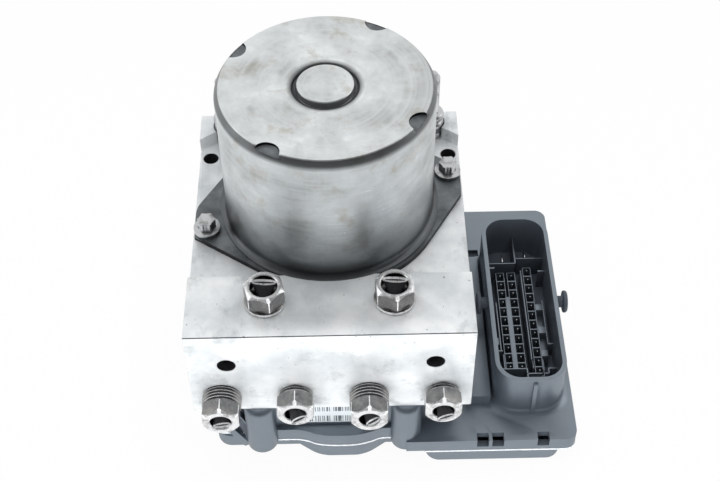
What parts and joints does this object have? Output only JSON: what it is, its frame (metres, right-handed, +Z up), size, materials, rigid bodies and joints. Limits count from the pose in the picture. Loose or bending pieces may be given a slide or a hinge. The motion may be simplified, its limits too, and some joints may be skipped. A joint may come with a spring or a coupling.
{
  "type": "anti-lock brake hydraulic module",
  "caption": "Brake pressure module: metal valve block with pump motor on top, line nuts in front and top, and a plastic control unit with a connector socket below.",
  "frame": {"origin": "underside of the control unit's cover, straight below the pump motor's axis", "axes": "+Z up along the motor's axis, +X to the right towards the connector, +Y to the back, away from the face with the four line nuts"},
  "size_m": [0.1297, 0.1136, 0.1191],
  "materials": {
    "block_aluminium": "milled, fine satin",
    "motor_steel": "deep drawn, dull satin",
    "plated_steel": "zinc plated, worn",
    "pipe_steel": "cut and squashed ends",
    "spring_steel": "bright drawn wire",
    "bearing_steel": "ground",
    "housing_plastic": "moulded, fine satin grain",
    "seal_rubber": "moulded",
    "lamination_steel": "stacked sheets",
    "copper": "enamelled wire and copper bars",
    "magnet_ferrite": "sintered, dull",
    "carbon": "pressed carbon",
    "insulator": "moulded resin plate",
    "circuit_laminate": "lacquered board",
    "contact_tin": "tin plated",
    "label_film": "printed film"
  },
  "bodies": {
    "unit": {"hydraulic_block": "block_aluminium", "motor_can": "motor_steel", "motor_end_shield": "motor_steel", "motor_screws": "plated_steel", "ecu_screws": "plated_steel", "ecu_housing": "housing_plastic", "ecu_cover": "housing_plastic", "cover_seal": "seal_rubber", "block_gasket": "seal_rubber", "circuit_board": "circuit_laminate", "valve_coils": "copper", "valve_bodies": "plated_steel", "signal_pins": "contact_tin", "power_blades": "contact_tin", "bar_label": "label_film", "pump_plugs": "plated_steel", "chamber_caps": "block_aluminium", "gallery_balls": "bearing_steel", "front_bearing": "bearing_steel", "rear_bearing": "bearing_steel", "brush_plate": "insulator", "brushes": "carbon", "inlet_nut_left": "plated_steel", "inlet_pipe_left": "pipe_steel", "mounting_stud_left": "plated_steel", "magnet_left": "magnet_ferrite", "pump_spring_left": "spring_steel", "chamber_spring_left": "spring_steel", "inlet_nut_right": "plated_steel", "inlet_pipe_right": "pipe_steel", "mounting_stud_right": "plated_steel", "magnet_right": "magnet_ferrite", "pump_spring_right": "spring_steel", "chamber_spring_right": "spring_steel", "outlet_nut_1": "plated_steel", "outlet_pipe_1": "pipe_steel", "outlet_nut_2": "plated_steel", "outlet_pipe_2": "pipe_steel", "outlet_nut_3": "plated_steel", "outlet_pipe_3": "pipe_steel", "outlet_nut_4": "plated_steel", "outlet_pipe_4": "pipe_steel"},
    "rotor": {"motor_shaft": "bearing_steel", "armature_core": "lamination_steel", "armature_windings": "copper", "commutator": "copper"},
    "ring": {"eccentric_ring": "bearing_steel"},
    "pump_piston_left_body": {"pump_piston_left": "bearing_steel"},
    "chamber_piston_left_body": {"chamber_piston_left": "block_aluminium"},
    "pump_piston_right_body": {"pump_piston_right": "bearing_steel"},
    "chamber_piston_right_body": {"chamber_piston_right": "block_aluminium"},
    "plunger_1": {"valve_plunger_1": "plated_steel"},
    "plunger_2": {"valve_plunger_2": "plated_steel"},
    "plunger_3": {"valve_plunger_3": "plated_steel"},
    "plunger_4": {"valve_plunger_4": "plated_steel"},
    "plunger_5": {"valve_plunger_5": "plated_steel"},
    "plunger_6": {"valve_plunger_6": "plated_steel"},
    "plunger_7": {"valve_plunger_7": "plated_steel"},
    "plunger_8": {"valve_plunger_8": "plated_steel"}
  },
  "joints": [
    {"name": "motor_spin", "type": "hinge", "parent": "unit", "child": "rotor", "pos_m": [0, 0, 0.0636], "axis": [0, 0, 1], "continuous": true},
    {"name": "ring_spin", "type": "hinge", "parent": "rotor", "child": "ring", "pos_m": [0, 0.001, 0.049], "axis": [0, 0, 1], "continuous": true},
    {"name": "pump_stroke_left", "type": "slide", "parent": "unit", "child": "pump_piston_left_body", "axis": [1, 0, 0], "range_m": [0, 0.001], "deforming": ["pump_spring_left"]},
    {"name": "pump_stroke_right", "type": "slide", "parent": "unit", "child": "pump_piston_right_body", "axis": [-1, 0, 0], "range_m": [0, 0.001], "deforming": ["pump_spring_right"]},
    {"name": "chamber_stroke_left", "type": "slide", "parent": "unit", "child": "chamber_piston_left_body", "axis": [0, 1, 0], "range_m": [0, 0.006], "stiffness_N_per_m": 400, "springref_m": -0.004, "deforming": ["chamber_spring_left"]},
    {"name": "chamber_stroke_right", "type": "slide", "parent": "unit", "child": "chamber_piston_right_body", "axis": [0, 1, 0], "range_m": [0, 0.006], "stiffness_N_per_m": 400, "springref_m": -0.004, "deforming": ["chamber_spring_right"]},
    {"name": "valve_lift_1", "type": "slide", "parent": "unit", "child": "plunger_1", "axis": [0, 0, 1], "range_m": [0, 0.0003], "stiffness_N_per_m": 400, "springref_m": -0.001},
    {"name": "valve_lift_2", "type": "slide", "parent": "unit", "child": "plunger_2", "axis": [0, 0, 1], "range_m": [0, 0.0003], "stiffness_N_per_m": 400, "springref_m": -0.001},
    {"name": "valve_lift_3", "type": "slide", "parent": "unit", "child": "plunger_3", "axis": [0, 0, 1], "range_m": [0, 0.0003], "stiffness_N_per_m": 400, "springref_m": -0.001},
    {"name": "valve_lift_4", "type": "slide", "parent": "unit", "child": "plunger_4", "axis": [0, 0, 1], "range_m": [0, 0.0003], "stiffness_N_per_m": 400, "springref_m": -0.001},
    {"name": "valve_lift_5", "type": "slide", "parent": "unit", "child": "plunger_5", "axis": [0, 0, 1], "range_m": [0, 0.0003], "stiffness_N_per_m": 400, "springref_m": -0.001},
    {"name": "valve_lift_6", "type": "slide", "parent": "unit", "child": "plunger_6", "axis": [0, 0, 1], "range_m": [0, 0.0003], "stiffness_N_per_m": 400, "springref_m": -0.001},
    {"name": "valve_lift_7", "type": "slide", "parent": "unit", "child": "plunger_7", "axis": [0, 0, 1], "range_m": [0, 0.0003], "stiffness_N_per_m": 400, "springref_m": -0.001},
    {"name": "valve_lift_8", "type": "slide", "parent": "unit", "child": "plunger_8", "axis": [0, 0, 1], "range_m": [0, 0.0003], "stiffness_N_per_m": 400, "springref_m": -0.001}
  ]
}
